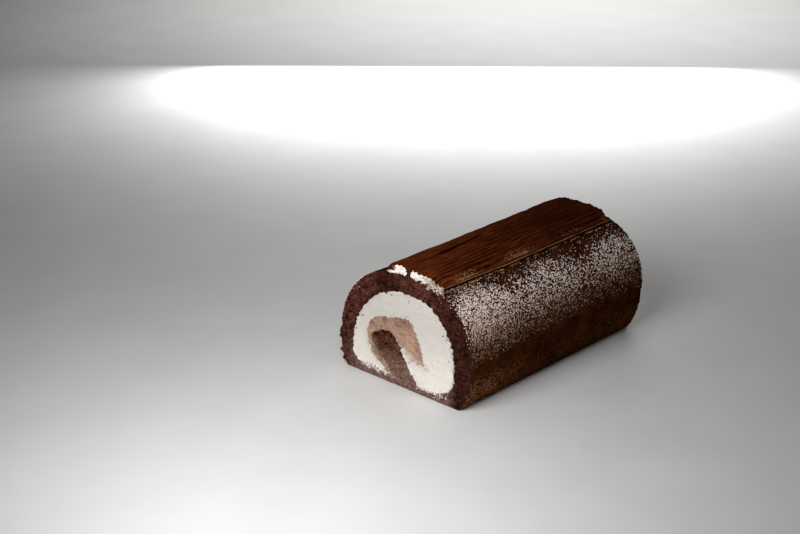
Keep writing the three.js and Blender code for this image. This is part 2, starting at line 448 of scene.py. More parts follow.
# %% Mocha cream
SPECKS_AT = (4 * MM, 41 * MM)
WHITE_REACH = 3.6 * MM
mocha = cake_mesh("mocha_cream", "mocha_filling", CREAM_VOXEL, ("sponge", "white_cream"), 1)
places = vertex_places(mocha)
to_white = distance_to(walls_of("white_cream"), places)
soft = run_in(places)
mark(mocha, "white", fade(MOCHA_LINE + WHITE_REACH * soft, 0, to_white) * (0.2 + 0.6 * soft))
from_specks = np.hypot(places[:, 0] - SPECKS_AT[0], places[:, 2] - SPECKS_AT[1])
mark(mocha, "crumbs", fade(10 * MM, 2 * MM, from_specks))
grip(mocha, places, np.minimum(to_white, distance_to(walls_of("sponge"), places)))
print("mocha vertices that white runs into:", int((soft > 0.5).sum()))

# %% [markdown]
# The strip on top is cream drawn lengthwise with a comb and then covered with cocoa. The solid has the comb
# lines at an even height. Here it gets a fine mesh first: coarse underneath, where nothing shows, and finer
# still by the right lip, which is a thin line.

# %% Combed strip
STRIP_VOXEL = 0.6 * MM
STRIP_LEFT = -24 * MM
STRIP_RIGHT = 28.3 * MM
UNDER_SHARE = 0.06
LIP_ZONE = 2.0 * MM


def away_from_axis(places, normals):
    spokes = (places - [0, 0, AXIS_HEIGHT]) * [1, 0, 1]
    spokes /= np.linalg.norm(spokes, axis=1, keepdims=True)
    return (normals * spokes).sum(axis=1)


strip = welded_copy("combed_strip", "cocoa_strip")
apply_modifier(strip, "REMESH", mode="VOXEL", voxel_size=STRIP_VOXEL)
below = away_from_axis(face_values(strip, "center"), face_values(strip, "normal")) < 0
edit_faces(strip, below, bpy.ops.mesh.decimate, ratio=UNDER_SHARE)
by_lip = face_values(strip, "center")[:, 0] > STRIP_RIGHT - LIP_ZONE
edit_faces(strip, by_lip, bpy.ops.mesh.subdivide, number_cuts=1)
select_only(strip)
bpy.ops.object.shade_smooth()
print("strip faces:", len(strip.data.polygons))

# %% [markdown]
# The comb's grooves are deeper on the right, and one long slit shows where the comb tore the cream. The right
# edge wavers, so the lip of bare cream along it is found anew at every step along the roll.

# %% Grooves, slit and lip
COMB_PITCH = 3 * MM
SLIT_AT = -2 * MM
LIP_STEP = 1.5 * MM
LIP_WIDTH = 0.4 * MM
LIP_HEIGHT = 0.55 * MM
strip_low, strip_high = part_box("combed_strip")
places = vertex_places(strip)
x, z = places[:, 0], places[:, 2]
front = places[:, 1] - strip_low.y
back = strip_high.y - places[:, 1]
across = x - STRIP_LEFT
groove = 0.5 - 0.5 * np.cos(2 * math.pi * across / COMB_PITCH)
# The groove mark places painted shade in the comb's grooves; the weight below presses the grooves into the
# mesh.
mark(strip, "groove", groove * (0.35 + 0.65 * fade(-10 * MM, 6 * MM, x)))
weigh(strip, "groove", groove**2 * fade(0, 17 * MM, across) * fade(1 * MM, 14 * MM, back))
slit = fade(1.2 * MM, 0.4 * MM, np.abs(x - SLIT_AT))
slit *= fade(28 * MM, 40 * MM, front) * fade(78 * MM, 62 * MM, front)
# The slit mark also places painted shade in the slit.
mark(strip, "slit", slit)
weigh(strip, "slit", slit)
# Painted shade: the strip is painted darker towards the far end.
mark(strip, "far", fade(40 * MM, 130 * MM, front))
step = (front / LIP_STEP).astype(int)
edge = np.zeros(step.max() + 1)
np.maximum.at(edge, step, x)
lip = fade(LIP_WIDTH, 0.4 * LIP_WIDTH, edge[step] - x)
lip_top = np.zeros(step.max() + 1)
np.maximum.at(lip_top, step[lip > 0.5], z[lip > 0.5])
mark(strip, "lip", lip * fade(LIP_HEIGHT, 0.5 * LIP_HEIGHT, lip_top[step] - z))
print("lip from", round(lip_top.min() / MM, 2), "to", round(lip_top.max() / MM, 2), "mm above the floor")

# %% [markdown]
# White cream shows under the cocoa at both ends, at the shown end in two parts. That end sinks into the
# sponge at its left corner and slopes down on the right. The left edge thins out, the underside sits in the
# sponge without a gap, and the powder is calmer at the shown end and by the lip.

# %% Ends and edges of the strip
BARE_GAP = 2.6 * MM
BACK_BARE = 0.7
SLOPE_SHARE = 0.5
LIP_CALM = 0.65
END_POWDER = 0.25
bare = fade(-11 * MM, -5 * MM, x) * fade(22 * MM, 10 * MM, x)
parted = fade(1.0 * MM, 2.0 * MM, np.abs(x - BARE_GAP))
facing = fade(0.35, 0.7, np.abs(vertex_normals(strip)[:, 1]))
shown_end = parted * np.maximum(facing * fade(4 * MM, 3 * MM, front), fade(1.3 * MM, 0.5 * MM, front))
mark(strip, "end", bare * np.maximum(shown_end, BACK_BARE * facing * fade(4 * MM, 3 * MM, back)))
calm = 1 - LIP_CALM * fade(STRIP_RIGHT - 2.5 * MM, STRIP_RIGHT - 0.5 * MM, x)
weigh(strip, "powder", calm * (END_POWDER + (1 - END_POWDER) * fade(0.5 * MM, 4 * MM, front)))
weigh(strip, "left_edge", fade(5 * MM, 0, across))
corner = fade(14 * MM, 7 * MM, across) * fade(10 * MM, 3 * MM, front)
slope = fade(2 * MM, 12 * MM, x) * fade(STRIP_RIGHT, 24 * MM, x) * fade(8 * MM, 1 * MM, front)
weigh(strip, "shown_end", np.maximum(corner, SLOPE_SHARE * slope))
under = fade(0.1, -0.3, away_from_axis(places, vertex_normals(strip)))
weigh(strip, "under", under)
weigh(strip, "back_end", fade(7 * MM, 2 * MM, back) * (1 - under))
print("strip vertices underneath:", int((under > 0.5).sum()))

# %% [markdown]
# A noise stretched along the roll breaks up the comb lines, and finer noise makes the dry powder. An empty
# with a long Y scale stretches the noise, and is removed once it has done its work.

# %% Relief of the strip
STREAK = 9.0
COMB_LINES = (2.4 * MM, 0.7 * MM)
COMB_LEVEL = 0.8
WAVER = (3.5 * MM, 1.6 * MM)
STREAKS = (1.5 * MM, 1.0 * MM)
STRIP_WAVES = (18 * MM, 0.9 * MM)
POWDER = (0.9 * MM, 0.5 * MM)
SLIT_DEPTH = 1.1 * MM
EDGE_SINK = 1.3 * MM
END_SINK = 3.2 * MM
UNDER_SINK = 1.6 * MM
bpy.ops.object.empty_add()
stretcher = bpy.context.active_object
stretcher.scale = (1, STREAK, 1)
bpy.context.view_layer.update()
along_comb = {"texture_coords": "OBJECT", "texture_coords_object": stretcher}
push(strip, "slit", -SLIT_DEPTH)
cloud_relief(strip, "groove", *COMB_LINES, mid_level=COMB_LEVEL, **along_comb)
cloud_relief(strip, "powder", *WAVER, direction="X", **along_comb)
cloud_relief(strip, "powder", *STREAKS, **along_comb)
cloud_relief(strip, "powder", *STRIP_WAVES)
cloud_relief(strip, "powder", *POWDER, steps=1)
bpy.data.objects.remove(stretcher)
push(strip, "left_edge", -EDGE_SINK, "Z")
push(strip, "shown_end", -END_SINK, "Z")
apply_modifier(strip, "SMOOTH", factor=0.7, iterations=14, vertex_group="back_end")
push(strip, "under", -UNDER_SINK, "Z")
print("strip top in mm:", round(vertex_places(strip)[:, 2].max() / MM, 1))

# %% [markdown]
# Where the strip meets the shown cut, its white cream swells out from under the cocoa in two soft lumps, and
# thins to small bits on the right. Each lump starts as a few round primitives set on the sponge, which
# are joined, remeshed into one skin and roughened. A ray dropped from above finds the sponge's height.

# %% Cream lumps at the strip's end
DROP_FROM = 0.3
LUMP_REACH = 1.4 * MM
LUMP_INSET = 0.6 * MM
LUMP_RISE = 0.55
LUMP_VOXEL = 0.35 * MM
LUMP_WAVES = (2.2 * MM, 1.6 * MM)
LUMP_FRAY = (0.9 * MM, 1.7 * MM)
# Each row is a lump's place across the roll, half its width and half its height, in millimetres.
LUMPS = (
    (-11.2, 1.7, 0.4), (-8.6, 2.2, 0.7), (-5.4, 2.4, 1.1), (-2.0, 1.9, 1.5),
    (6.0, 1.7, 1.6), (8.4, 2.0, 1.4), (11.0, 2.0, 1.0), (13.4, 1.6, 0.7), (15.6, 1.2, 0.5),
)
sponge_surface = surface_of(sponge)


def height_at(surface, x, y):
    return surface.ray_cast(Vector((x, y, DROP_FROM)), Vector((0, 0, -1)))[0].z


lumps = []
for across_mm, half_width, half_height in LUMPS:
    y = SHOWN_CUT + LUMP_INSET
    z = height_at(sponge_surface, across_mm * MM, y + LUMP_REACH) + LUMP_RISE * half_height * MM
    bpy.ops.object.select_all(action="DESELECT")
    bpy.ops.mesh.primitive_uv_sphere_add(
        segments=20, ring_count=12, radius=1, location=(across_mm * MM, y, z)
    )
    lump = bpy.context.active_object
    lump.scale = (half_width * MM, LUMP_REACH, half_height * MM)
    lumps.append(lump)
bpy.ops.object.select_all(action="DESELECT")
for lump in lumps:
    lump.select_set(True)
bpy.context.view_layer.objects.active = lumps[0]
bpy.ops.object.join()
end_cream = bpy.context.active_object
end_cream.name = "strip_end_cream"
bpy.ops.object.transform_apply(location=True, rotation=True, scale=True)
apply_modifier(end_cream, "REMESH", mode="VOXEL", voxel_size=LUMP_VOXEL)
weigh(end_cream, "all", np.ones(len(end_cream.data.vertices)))
ragged_relief(end_cream, "all", *LUMP_WAVES)
ragged_relief(end_cream, "all", *LUMP_FRAY)
select_only(end_cream)
bpy.ops.object.shade_smooth()
print("end cream faces:", len(end_cream.data.polygons))

# %% [markdown]
# Grains, crumbs and shreds are many small bodies. A crumb or a shred starts as a round primitive, and a
# grain as a plain closed body with sharp corners, an octahedron. Arrays of places, sizes and turns copy the
# shape into a single mesh, each copy a little uneven. Every draw comes from a seeded generator, so the cake
# is the same each time.


# %% Many small bodies as one mesh
def shape_of(primitive, **settings):
    bpy.ops.object.select_all(action="DESELECT")
    primitive(radius=1, **settings)
    made = bpy.context.active_object
    corners = vertex_places(made)
    faces = np.array([p.vertices[:] for p in made.data.polygons])
    bpy.data.objects.remove(made)
    return corners, faces


GRAIN_CORNERS = ((1, 0, 0), (0, 1, 0), (-1, 0, 0), (0, -1, 0), (0, 0, 1), (0, 0, -1))
GRAIN_FACES = ((0, 1, 4), (1, 2, 4), (2, 3, 4), (3, 0, 4), (1, 0, 5), (2, 1, 5), (3, 2, 5), (0, 3, 5))
GRAIN = (np.array(GRAIN_CORNERS, float), np.array(GRAIN_FACES))
CRUMB = shape_of(bpy.ops.mesh.primitive_ico_sphere_add, subdivisions=2)
SHRED = shape_of(bpy.ops.mesh.primitive_ico_sphere_add, subdivisions=1)
print("faces of a grain, a crumb and a shred:", [len(shape[1]) for shape in (GRAIN, CRUMB, SHRED)])


def random_turns(draw, count):
    q = draw.normal(size=(count, 4))
    w, x, y, z = (q / np.linalg.norm(q, axis=1, keepdims=True)).T
    rows = (
        (1 - 2 * (y * y + z * z), 2 * (x * y - w * z), 2 * (x * z + w * y)),
        (2 * (x * y + w * z), 1 - 2 * (x * x + z * z), 2 * (y * z - w * x)),
        (2 * (x * z - w * y), 2 * (y * z + w * x), 1 - 2 * (x * x + y * y)),
    )
    return np.array(rows).transpose(2, 0, 1)


def joined_copies(name, shape, centres, radii, draw, uneven):
    corners, faces = shape
    count = len(centres)
    swell = 1 + uneven * draw.uniform(-1, 1, (count, len(corners), 1))
    bodies = corners[None] * swell * radii[:, None, :]
    bodies = np.einsum("nij,nvj->nvi", random_turns(draw, count), bodies)
    bodies = (bodies + centres[:, None, :]).reshape(-1, 3)
    index = (faces[None] + len(corners) * np.arange(count)[:, None, None]).reshape(-1, faces.shape[1])
    mesh = bpy.data.meshes.new(name)
    mesh.from_pydata(bodies.tolist(), [], index.tolist())
    piece = bpy.data.objects.new(name, mesh)
    bpy.context.scene.collection.objects.link(piece)
    print(name, "bodies:", count, "faces:", len(mesh.polygons))
    return piece


# %% [markdown]
# The icing sugar that shows as single specks is real grains on the finished skin. Angles and places along
# the roll are drawn at random, kept as often as the sugar is dense there, and dropped on the mesh along a
# ray towards the roll's middle. A broad noise makes the cover uneven. Low on the flank the sugar drew
# moisture and turned tan, so each grain carries how warm its colour is.

# %% Icing sugar
SUGAR_TRIES = 70000
LOWEST_GRAIN = -22
ABOVE_TOP = 14
LEFT_SHARE = 0.45
LONE_GRAINS = 0.002
CLUMP = 6 * MM
CLUMP_RADIUS = 50 * MM
RAY_START = 0.12
DAMP_RIM = 0.45


def drop_on_roll(surfaces, degrees, along):
    spots = []
    for angle, y in zip(np.radians(degrees), along):
        out = Vector((math.cos(angle), 0, math.sin(angle)))
        start = Vector((0, y, AXIS_HEIGHT)) + out * RAY_START
        hits = [surface.ray_cast(start, -out) for surface in surfaces]
        hits = [hit for hit in hits if hit[0] is not None]
        spots.append(min(hits, key=lambda hit: hit[3])[0])
    return np.array(spots)


def cover(degrees, along):
    values = []
    for around, y in zip(np.radians(degrees) * CLUMP_RADIUS, along):
        values.append(noise.noise(Vector((around + 0.6 * y, y - 0.6 * around, 0)) / CLUMP))
    return np.clip(0.85 + 0.6 * np.array(values), 0, 1)


draw = np.random.default_rng(7)
angle = draw.uniform(LOWEST_GRAIN, SUGAR_TOP + ABOVE_TOP, SUGAR_TRIES)
along = draw.uniform(SHOWN_CUT, BACK_CUT, SUGAR_TRIES)
left = draw.random(SUGAR_TRIES) < LEFT_SHARE
degrees = np.where(left, 180 - angle, angle)
density = np.maximum(sugar_density(angle, along), LONE_GRAINS)
kept = draw.random(SUGAR_TRIES) < density * cover(degrees, along)
flank_spots = drop_on_roll([sponge_surface], degrees[kept], along[kept])
angle, along = angle[kept], along[kept]
flank_warmth = np.clip(draw.normal(0.08, 0.2, len(flank_spots)), 0, 1)
flank_warmth = np.maximum(flank_warmth, fade(42, 16, angle) * draw.uniform(0.45, 1.0, len(flank_spots)))
flank_warmth = np.maximum(flank_warmth, fade(22, 6, angle))
by_rim = fade(16 * MM, 6 * MM, along - SHOWN_CUT) * fade(15, 22, angle) * fade(36, 29, angle)
flank_warmth = np.maximum(flank_warmth, DAMP_RIM * by_rim)
print("sugar grains on the flanks:", len(flank_spots))

# %% [markdown]
# Powder gathered in other places too. A broken second line of it runs just below the strip's lip, tan
# specks lie in patches on the cocoa beside the lip, where powder was knocked across, and loose grains lie on
# top of the strip's shown end. A ray that meets both sponge and strip keeps the upper one.

# %% Powder line and specks
LINE_ANGLE = 55.4
LINE_SPREAD = 0.4
LINE_TRIES = 700
LINE_GAPS = 7 * MM
LINE_LEVEL = -0.05
LINE_WHOLE = 0.9
SPECK_TRIES = 2000
SPECK_ANGLES = (58.5, 64.5)
SPECK_SPREAD = 2.2
SPECK_PATCH = 46 * MM
SPECKS_FAR_SHARE = 0.3
END_GRAINS = 420
END_ANGLES = (56, 74)
END_REACH = 1.82 * MM
line_along = draw.uniform(SHOWN_CUT, BACK_CUT, LINE_TRIES)
line_angle = LINE_ANGLE + draw.normal(0, LINE_SPREAD, LINE_TRIES)
line_noise = np.array([noise.noise(Vector((y / LINE_GAPS, 3, 5))) for y in line_along])
line_kept = line_noise > LINE_LEVEL - LINE_WHOLE * fade(16 * MM, 6 * MM, line_along - SHOWN_CUT)
speck_along = draw.uniform(SHOWN_CUT, BACK_CUT, SPECK_TRIES)
speck_angle = SPECK_ANGLES[0] + np.abs(draw.normal(0, SPECK_SPREAD, SPECK_TRIES))
patchy = 0.5 - 0.5 * np.cos(2 * math.pi * (speck_along - SHOWN_CUT) / SPECK_PATCH)
nearer = fade(105 * MM, 60 * MM, speck_along - SHOWN_CUT)
patchy = patchy**2 * (SPECKS_FAR_SHARE + (1 - SPECKS_FAR_SHARE) * nearer)
speck_kept = (draw.random(SPECK_TRIES) < patchy) & (speck_angle < SPECK_ANGLES[1])
end_angle = draw.uniform(*END_ANGLES, END_GRAINS)
end_along = SHOWN_CUT + END_REACH * draw.random(END_GRAINS) ** 1.5
top_angle = np.concatenate([line_angle[line_kept], speck_angle[speck_kept], end_angle])
top_along = np.concatenate([line_along[line_kept], speck_along[speck_kept], end_along])
top_spots = drop_on_roll([sponge_surface, surface_of(strip)], top_angle, top_along)
print("grains in the line:", int(line_kept.sum()), "specks:", int(speck_kept.sum()))

# %% [markdown]
# Grains also stick to the strip's end face and to the rim of the shown cut, thinning out inwards.

# %% Grains on the shown cut
FACE_GRAINS = 140
FACE_ACROSS = (15, 28)
FACE_HEIGHT = 2.2 * MM
FACE_PROUD = 0.1 * MM
FOOT_BEHIND = 2.6 * MM
RIM_GRAINS = 70
RIM_ANGLES = (18, 62)
RIM_INSET = 0.8 * MM
RIM_SPREAD = 0.8 * MM
face_x = draw.uniform(*FACE_ACROSS, FACE_GRAINS) * MM
face_foot = np.array([height_at(sponge_surface, x, strip_low.y + FOOT_BEHIND) for x in face_x])
face_z = face_foot + draw.uniform(0, FACE_HEIGHT, FACE_GRAINS)
face_spots = np.column_stack([face_x, np.full(FACE_GRAINS, strip_low.y - FACE_PROUD), face_z])
rim_angle = draw.uniform(*RIM_ANGLES, RIM_GRAINS)
rim_spots = drop_on_roll([sponge_surface], rim_angle, np.full(RIM_GRAINS, SHOWN_CUT + RIM_INSET))
inward = draw.exponential(RIM_SPREAD, RIM_GRAINS)
rim_spots[:, 0] -= inward * np.cos(np.radians(rim_angle))
rim_spots[:, 2] -= inward * np.sin(np.radians(rim_angle))
rim_spots[:, 1] = SHOWN_CUT
print("grains on the end face:", len(face_spots), "on the rim:", len(rim_spots))

# %% [markdown]
# All grains become one piece. They are smaller where the sugar runs out at its upper and lower edge, where
# they are warm, and in the places that powder was knocked to. Line and specks are fully tan.

# %% All grains as one piece
SUGAR_RADIUS = (0.22 * MM, 0.55 * MM)
UNEVEN_RADIUS = (0.7, 1.3)
SMALL_GRAIN = 0.7
WARM_SHRINKS = 0.3
EDGE_SHRINKS = 0.35
GRAIN_UNEVEN = 0.25
spots = np.concatenate([flank_spots, rim_spots, face_spots, top_spots])
top_warmth = np.full(len(top_spots), 1.0)
top_warmth[-END_GRAINS:] = draw.uniform(0, 0.4, END_GRAINS)
cut_warmth = draw.uniform(0, 0.5, RIM_GRAINS + FACE_GRAINS)
warmth = np.concatenate([flank_warmth, cut_warmth, top_warmth])
radii = draw.uniform(*SUGAR_RADIUS, (len(spots), 1)) * draw.uniform(*UNEVEN_RADIUS, (len(spots), 3))
radii *= (1 - WARM_SHRINKS * warmth)[:, None]
by_edge = np.maximum(fade(43, 52, angle), fade(27, 13, angle))
radii[:len(flank_spots)] *= (1 - EDGE_SHRINKS * by_edge)[:, None]
radii[len(flank_spots):] *= SMALL_GRAIN
sugar = joined_copies("icing_sugar", GRAIN, spots, radii, draw, GRAIN_UNEVEN)
mark(sugar, "warmth", np.repeat(warmth, len(GRAIN[0])))

# %% [markdown]
# Crumbs cling where the knife tore the sponge: along the left foot of the shown cut, in the cream close to
# the sponge, and in a small group above the mocha. They are dark and uneven, the largest 5 mm across.

# %% Crumbs
CREAM_CRUMBS = 44
CREAM_CRUMB_REACH = 1.1 * MM
STRAY_CRUMBS = 0.006
FOOT_CRUMBS = 44
FOOT_CRUMB_ANGLES = (183, 204)
FOOT_CRUMB_REACH = 5 * MM
FOOT_CRUMB_INSET = 0.4 * MM
MOCHA_CRUMBS = 24
MOCHA_ACROSS = (-9, 8)
MOCHA_HEIGHT = (38, 46)
CRUMB_CLEARS = 1.6
CRUMB_UNEVEN = 0.3
draw = np.random.default_rng(23)
cream_centres = face_values(cream, "center")
on_cut = (face_values(cream, "normal")[:, 1] ** 2 > 0.5) & (from_cut(cream_centres) < CUT_SKIN)
cream_centres = cream_centres[on_cut]
chance = np.exp(-distance_to(walls_of("sponge"), cream_centres) / CREAM_CRUMB_REACH) + STRAY_CRUMBS
chosen = draw.choice(len(cream_centres), CREAM_CRUMBS, replace=False, p=chance / chance.sum())
foot_angle = draw.uniform(*FOOT_CRUMB_ANGLES, FOOT_CRUMBS)
foot_along = SHOWN_CUT + np.abs(draw.normal(0, FOOT_CRUMB_REACH, FOOT_CRUMBS)) + FOOT_CRUMB_INSET
on_foot = drop_on_roll([sponge_surface], foot_angle, foot_along)
by_mocha = np.column_stack([
    draw.uniform(*MOCHA_ACROSS, MOCHA_CRUMBS) * MM,
    np.full(MOCHA_CRUMBS, SHOWN_CUT),
    draw.uniform(*MOCHA_HEIGHT, MOCHA_CRUMBS) * MM,
])
crumb_spots = np.concatenate([cream_centres[chosen], on_foot, by_mocha])
crumb_size = np.concatenate([
    draw.uniform(0.2, 0.45, CREAM_CRUMBS),
    draw.uniform(0.5, 1.8, FOOT_CRUMBS),
    draw.uniform(0.25, 0.5, MOCHA_CRUMBS),
]) * MM
crumb_spots[:, 2] = np.maximum(crumb_spots[:, 2], CRUMB_CLEARS * crumb_size)
crumb_radii = crumb_size[:, None] * draw.uniform(0.65, 1.2, (len(crumb_spots), 3))
crumbs = joined_copies("sponge_crumbs", CRUMB, crumb_spots, crumb_radii, draw, CRUMB_UNEVEN)

# %% [markdown]
# At the bottom of each cut the knife dragged white cream down over the sponge in a ragged fringe, on both
# sides of the tongue. Small uneven shreds, set close to the cut, make the fringe. It bows up at its ends.

# %% Dragged cream
# Each row is where a fringe starts and ends across the roll and its height, in millimetres, and its shreds.
FRINGES = ((-35, -13, 5.4, 90), (10, 35, 4.6, 90))
FRINGE_SPREAD = 0.9
FRINGE_BOW = 0.004
FRINGE_PROUD = 0.1
FRINGE_DEPTH = 0.15
SHRED_UNEVEN = 0.35
draw = np.random.default_rng(31)
shreds = []
for first, last, height, count in FRINGES:
    for cut, tilt in ((SHOWN_CUT, -1), (BACK_CUT, 1)):
        x = draw.uniform(first, last, count)
        z = height + draw.normal(0, FRINGE_SPREAD, count) + FRINGE_BOW * (x - (first + last) / 2) ** 2
        y = np.full(count, cut / MM + tilt * FRINGE_PROUD) + draw.normal(0, FRINGE_DEPTH, count)
        shreds.append(np.column_stack([x, y, z]) * MM)
shreds = np.concatenate(shreds)
shred_radii = draw.uniform(0.15, 0.5, (len(shreds), 1)) * draw.uniform(0.4, 1.6, (len(shreds), 3)) * MM
fringe = joined_copies("dragged_cream", SHRED, shreds, shred_radii, draw, SHRED_UNEVEN)
for piece in (crumbs, fringe):
    select_only(piece)
    bpy.ops.object.shade_smooth()

# %% [markdown]
# Materials are node trees. Two small helpers place a node and link or set its inputs in one go, so that the
# trees below read like recipes. All patterns read Object coordinates, in metres, so they stay on the cake.


# %% Tools for node trees
def add_node(tree, kind, inputs=None, **settings):
    made = tree.nodes.new("ShaderNode" + kind)
    for key, value in settings.items():
        setattr(made, key, value)
    for socket, value in (inputs or {}).items():
        if isinstance(value, bpy.types.NodeSocket):
            tree.links.new(value, made.inputs[socket])
        else:
            made.inputs[socket].default_value = value
    return made


def calc(tree, operation, first, second):
    return add_node(tree, "Math", {0: first, 1: second}, operation=operation, use_clamp=True).outputs[0]


def times(tree, first, second):
    return calc(tree, "MULTIPLY", first, second)


def remap(tree, value, low, high, out_low=0.0, out_high=1.0):
    ends = {"Value": value, "From Min": low, "From Max": high, "To Min": out_low, "To Max": out_high}
    return add_node(tree, "MapRange", ends).outputs["Result"]


def blend(tree, share, first, second):
    return add_node(tree, "Mix", {0: share, 6: first, 7: second}, data_type="RGBA").outputs[2]


def noise_at(tree, place, size, detail=3.0):
    return add_node(tree, "TexNoise", {"Vector": place, "Scale": 1 / size, "Detail": detail}).outputs["Fac"]


def marked(tree, name):
    return add_node(tree, "Attribute", attribute_name=name).outputs["Fac"]


def bumped(tree, height, distance):
    inputs = {"Height": height, "Distance": distance, "Strength": 1.0}
    return add_node(tree, "Bump", inputs).outputs["Normal"]


def new_material(name, roughness, specular):
    material = bpy.data.materials.new(name)
    material.use_nodes = True
    tree = material.node_tree
    tree.nodes.clear()
    shader = add_node(tree, "BsdfPrincipled", {"Roughness": roughness, "Specular IOR Level": specular})
    add_node(tree, "OutputMaterial", {"Surface": shader.outputs["BSDF"]})
    place = add_node(tree, "TexCoord").outputs["Object"]
    return material, tree, shader, place


def finish_with(tree, shader, colour, normal):
    tree.links.new(colour, shader.inputs["Base Color"])
    tree.links.new(normal, shader.inputs["Normal"])


# %% [markdown]
# Three effects are shared. Unevenness is two noises of different size. Specks are the cells of a Voronoi
# texture, kept at random, like sifted powder. Crumb is a noise with open pores in it, which the sponge paints
# with shade.


# %% Shared effects
def new_group(name, inputs, outputs):
    tree = bpy.data.node_groups.new(name, "ShaderNodeTree")
    for socket in inputs:
        kind = "NodeSocketVector" if socket == "Place" else "NodeSocketFloat"
        tree.interface.new_socket(socket, in_out="INPUT", socket_type=kind)
    for socket in outputs:
        tree.interface.new_socket(socket, in_out="OUTPUT", socket_type="NodeSocketFloat")
    return tree, tree.nodes.new("NodeGroupInput").outputs, tree.nodes.new("NodeGroupOutput").inputs


def use_group(tree, group, **inputs):
    return add_node(tree, "Group", inputs, node_tree=group).outputs


def unevenness_group():
    tree, given, result = new_group("unevenness", ("Place", "Fine", "Broad"), ("Value",))
    fine = add_node(tree, "TexNoise", {"Vector": given["Place"], "Scale": given["Fine"], "Detail": 3.0})
    broad = add_node(tree, "TexNoise", {"Vector": given["Place"], "Scale": given["Broad"], "Detail": 2.0})
    both = add_node(tree, "Mix", {0: 0.5, 2: fine.outputs["Fac"], 3: broad.outputs["Fac"]}).outputs[0]
    tree.links.new(remap(tree, both, 0.37, 0.63), result["Value"])
    return tree


def specks_group():
    tree, given, result = new_group("powder specks", ("Place", "Scale", "Amount"), ("Mask",))
    cell = add_node(tree, "TexVoronoi", {"Vector": given["Place"], "Scale": given["Scale"]})
    chance = add_node(tree, "SeparateColor", {"Color": cell.outputs["Color"]}).outputs["Red"]
    lies = add_node(tree, "Math", {0: chance, 1: given["Amount"]}, operation="LESS_THAN").outputs[0]
    spot = remap(tree, cell.outputs["Distance"], 0.55, 0.3)
    tree.links.new(times(tree, lies, spot), result["Mask"])
    return tree


def crumb_group():
    tree, given, result = new_group("open crumb", ("Place", "Scale"), ("Pores", "Height"))
    cell = add_node(tree, "TexVoronoi", {"Vector": given["Place"], "Scale": given["Scale"]})
    chance = add_node(tree, "SeparateColor", {"Color": cell.outputs["Color"]}).outputs["Green"]
    size = remap(tree, chance, 0.35, 1.0, 0.0, 0.5)
    inside = add_node(tree, "Math", {0: size, 1: cell.outputs["Distance"]}, operation="SUBTRACT").outputs[0]
    pores = remap(tree, inside, 0.0, 0.2)
    grain = add_node(tree, "TexNoise", {"Vector": given["Place"], "Scale": given["Scale"], "Detail": 5.0})
    tree.links.new(pores, result["Pores"])
    tree.links.new(calc(tree, "SUBTRACT", grain.outputs["Fac"], pores), result["Height"])
    return tree


UNEVENNESS = unevenness_group()
SPECKS = specks_group()
OPEN_CRUMB = crumb_group()
print("shared effects:", [group.name for group in bpy.data.node_groups])

# %% [markdown]
# The sponge is dark cocoa brown and a little redder where it is fresh cut. Its crumb is dull and broken by
# pores, whose darkness is painted shade, and cream smeared by the knife greys the foot of the cut. The cut is
# also painted with shade towards its right side. The skin outside is darker and carries the finest sugar
# dust, with a painted shadow just below the strip. One material holds both, told apart by the mark that was
# left on the cut faces.

# %% Sponge finish
CRUMB_DARK = (0.011, 0.0032, 0.0022, 1)
CRUMB_LIGHT = (0.142, 0.050, 0.035, 1)
CRUMB_SMEARED = (0.25, 0.150, 0.120, 1)
# Dark crumb colour, used for the denser crumb and as painted shade in the pores and on the right of the cut.
PORE_SHADE_AND_DENSE_CRUMB = (0.014, 0.004, 0.0025, 1)
SKIN_DARK = (0.016, 0.0034, 0.0009, 1)
SKIN_LIGHT = (0.082, 0.0215, 0.0056, 1)
SKIN_TAN = (0.25, 0.098, 0.035, 1)
SUGAR_DUST = (0.60, 0.50, 0.45, 1)
TAN = (0.52, 0.345, 0.225, 1)


def crumb_colour(tree, place):
    spread = use_group(tree, UNEVENNESS, Place=place, Fine=1 / (1.3 * MM), Broad=1 / (3 * MM))["Value"]
    pores = use_group(tree, OPEN_CRUMB, Place=place, Scale=1 / (1.5 * MM))
    colour = blend(tree, spread, CRUMB_DARK, CRUMB_LIGHT)
    return colour, pores


